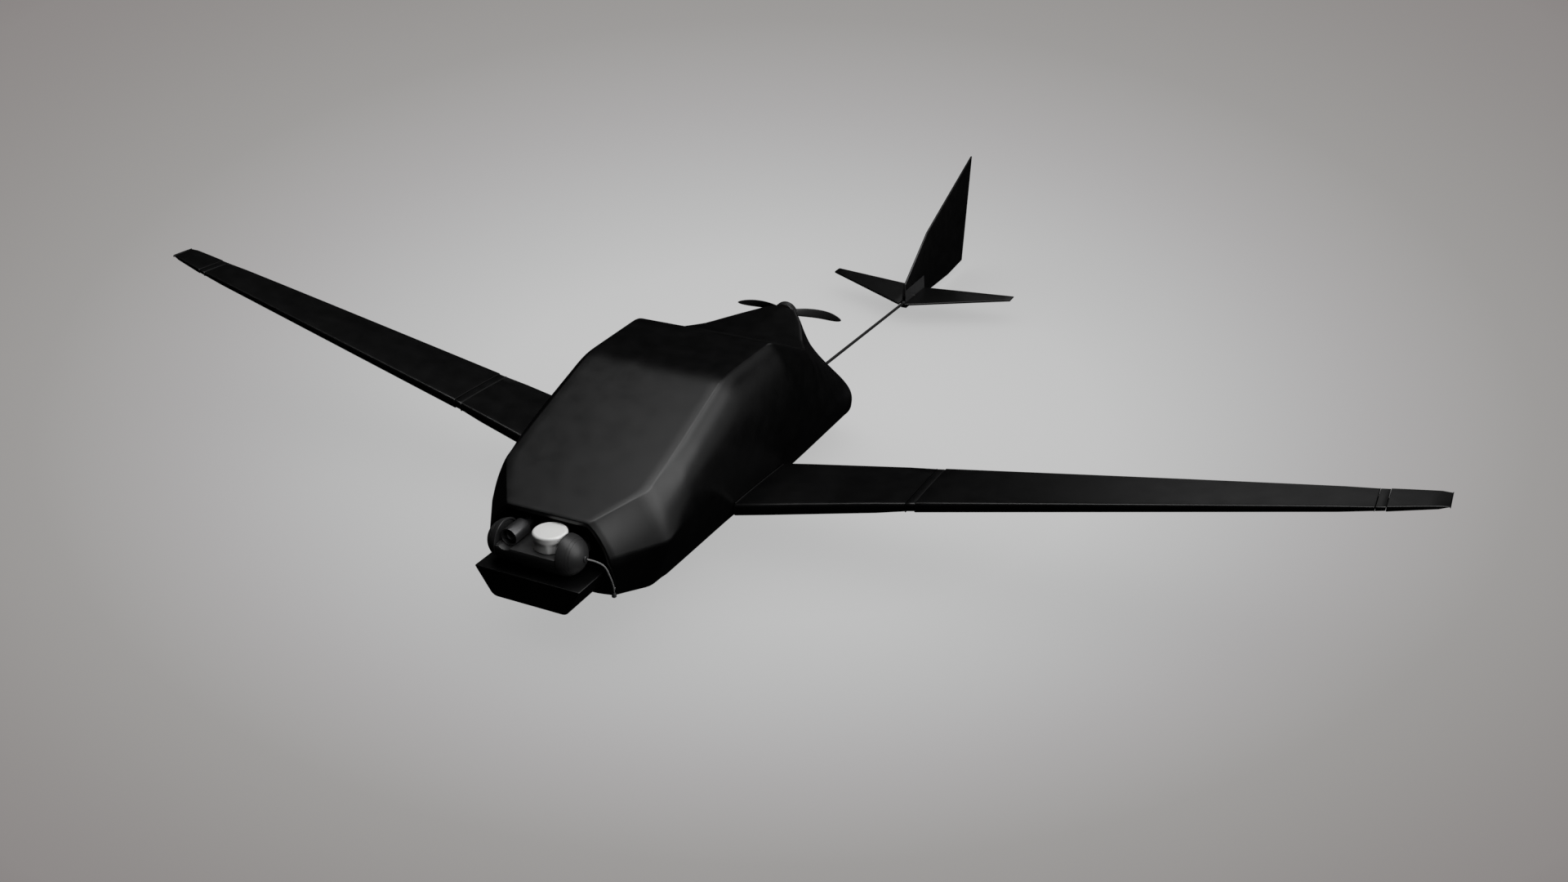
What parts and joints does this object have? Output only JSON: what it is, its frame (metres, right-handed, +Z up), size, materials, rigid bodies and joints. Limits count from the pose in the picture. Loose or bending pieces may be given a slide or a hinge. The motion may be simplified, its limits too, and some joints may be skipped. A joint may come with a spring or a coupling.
{
  "type": "hand-launched survey aeroplane",
  "caption": "Black foam hand-launched aeroplane with a nose camera drum, plug-in wing panels, a pusher propeller and a boom tail.",
  "frame": {"origin": "on the flat of the belly, in the symmetry plane, under the wing", "axes": "+X to the aeroplane's left along the span, the nose points along -Y, +Z up"},
  "size_m": [1.5, 1.1835, 0.1976],
  "materials": {
    "hull_black": "black moulded hull skin with a satin sheen and a very fine grain",
    "foam_black": "black moulded foam with a smooth satin skin",
    "nylon_black": "black glass-filled nylon, satin",
    "dark_metal": "dark anodised aluminium, turned, satin",
    "bare_aluminium": "plain turned aluminium",
    "winding": "enamelled copper winding on a steel core",
    "lens_glass": "coated front lens element, almost black",
    "satin_white": "satin white moulding with a grey facet",
    "lead_grey": "grey silicone lead",
    "cable_black": "black silicone motor cable",
    "carbon_tube": "wrapped carbon tube under a satin lacquer",
    "steel_wire": "drawn steel wire",
    "battery_wrap": "shrink-wrapped battery pack, plain",
    "circuit_board": "boxed circuit board, plain"
  },
  "bodies": {
    "airframe": {"fuselage_shell": "hull_black", "belly_pan": "hull_black", "nose_bulkhead": "foam_black", "chin_tray": "hull_black", "dome_left": "nylon_black", "dome_right": "nylon_black", "dome_face_left": "nylon_black", "dome_face_right": "nylon_black", "dome_arm_left": "nylon_black", "dome_arm_right": "nylon_black", "tilt_motor": "dark_metal", "signal_lead": "lead_grey", "lead_hub": "lead_grey", "lead_gland": "nylon_black", "motor_mount": "bare_aluminium", "motor_stator": "winding", "wing_spar": "carbon_tube", "wing_root_left": "foam_black", "wing_root_right": "foam_black", "wing_joiner_left": "nylon_black", "wing_joiner_right": "nylon_black", "tail_boom": "carbon_tube", "boom_socket": "nylon_black", "tail_block": "nylon_black", "fin": "foam_black", "servo_stand": "nylon_black", "tail_servo_left": "nylon_black", "tail_servo_right": "nylon_black", "battery_tray": "nylon_black", "battery": "battery_wrap", "flight_controller": "circuit_board", "speed_controller": "circuit_board", "radio_receiver": "circuit_board", "motor_cable": "cable_black"},
    "rotor": {"motor_bell": "dark_metal", "propeller": "nylon_black", "propeller_nut": "bare_aluminium"},
    "camera_drum": {"gimbal_drum": "nylon_black", "camera_barrel": "dark_metal", "camera_rear_tube": "dark_metal", "camera_lens": "lens_glass", "puck_sensor": "satin_white"},
    "wing_panel_left": {"wing_middle_left": "foam_black", "tip_joiner_left": "nylon_black"},
    "wing_panel_right": {"wing_middle_right": "foam_black", "tip_joiner_right": "nylon_black"},
    "wing_end_left": {"wing_tip_left": "foam_black"},
    "wing_end_right": {"wing_tip_right": "foam_black"},
    "tailplane_left": {"stabiliser_left": "foam_black", "stabiliser_crank_left": "steel_wire"},
    "tailplane_right": {"stabiliser_right": "foam_black", "stabiliser_crank_right": "steel_wire"},
    "tail_rod_left": {"pushrod_left": "steel_wire"},
    "tail_rod_right": {"pushrod_right": "steel_wire"},
    "tail_arm_left": {"servo_arm_left": "nylon_black"},
    "tail_arm_right": {"servo_arm_right": "nylon_black"}
  },
  "joints": [
    {"name": "propeller_spin", "type": "hinge", "parent": "airframe", "child": "rotor", "pos_m": [0, 0.277, 0.145], "axis": [0, 1, 0], "continuous": true},
    {"name": "gimbal_tilt", "type": "hinge", "parent": "airframe", "child": "camera_drum", "pos_m": [0, -0.25, 0.098], "axis": [1, 0, 0], "range_deg": [-30, 60]},
    {"name": "wing_left_pull", "type": "slide", "parent": "airframe", "child": "wing_panel_left", "axis": [0.9844, 0, 0.1757], "range_m": [0, 0.034]},
    {"name": "wing_right_pull", "type": "slide", "parent": "airframe", "child": "wing_panel_right", "axis": [-0.9844, 0, 0.1757], "range_m": [0, 0.034]},
    {"name": "tip_left_pull", "type": "slide", "parent": "wing_panel_left", "child": "wing_end_left", "axis": [0.9844, 0, 0.1757], "range_m": [0, 0.016]},
    {"name": "tip_right_pull", "type": "slide", "parent": "wing_panel_right", "child": "wing_end_right", "axis": [-0.9844, 0, 0.1757], "range_m": [0, 0.016]},
    {"name": "stabiliser_left_pitch", "type": "hinge", "parent": "airframe", "child": "tailplane_left", "pos_m": [0, 0.684, 0.026], "axis": [1, 0, 0], "range_deg": [-15, 15]},
    {"name": "stabiliser_right_pitch", "type": "hinge", "parent": "airframe", "child": "tailplane_right", "pos_m": [0, 0.684, 0.026], "axis": [1, 0, 0], "range_deg": [-15, 15]},
    {"name": "pushrod_left_slide", "type": "slide", "parent": "airframe", "child": "tail_rod_left", "axis": [0, 1, 0], "range_m": [-0.0016, 0.0016]},
    {"name": "pushrod_right_slide", "type": "slide", "parent": "airframe", "child": "tail_rod_right", "axis": [0, 1, 0], "range_m": [-0.0016, 0.0016]},
    {"name": "servo_arm_left_turn", "type": "hinge", "parent": "airframe", "child": "tail_arm_left", "pos_m": [0, 0.133, 0.03], "axis": [1, 0, 0], "range_deg": [-7.5, 7.5]},
    {"name": "servo_arm_right_turn", "type": "hinge", "parent": "airframe", "child": "tail_arm_right", "pos_m": [0, 0.133, 0.03], "axis": [1, 0, 0], "range_deg": [-7.5, 7.5]}
  ],
  "couplings": [
    {"joint": "pushrod_left_slide", "follows": "stabiliser_left_pitch", "m_per_rad": -0.0055},
    {"joint": "pushrod_right_slide", "follows": "stabiliser_right_pitch", "m_per_rad": -0.0055},
    {"joint": "servo_arm_left_turn", "follows": "stabiliser_left_pitch", "ratio": 0.4583},
    {"joint": "servo_arm_right_turn", "follows": "stabiliser_right_pitch", "ratio": 0.4583}
  ]
}
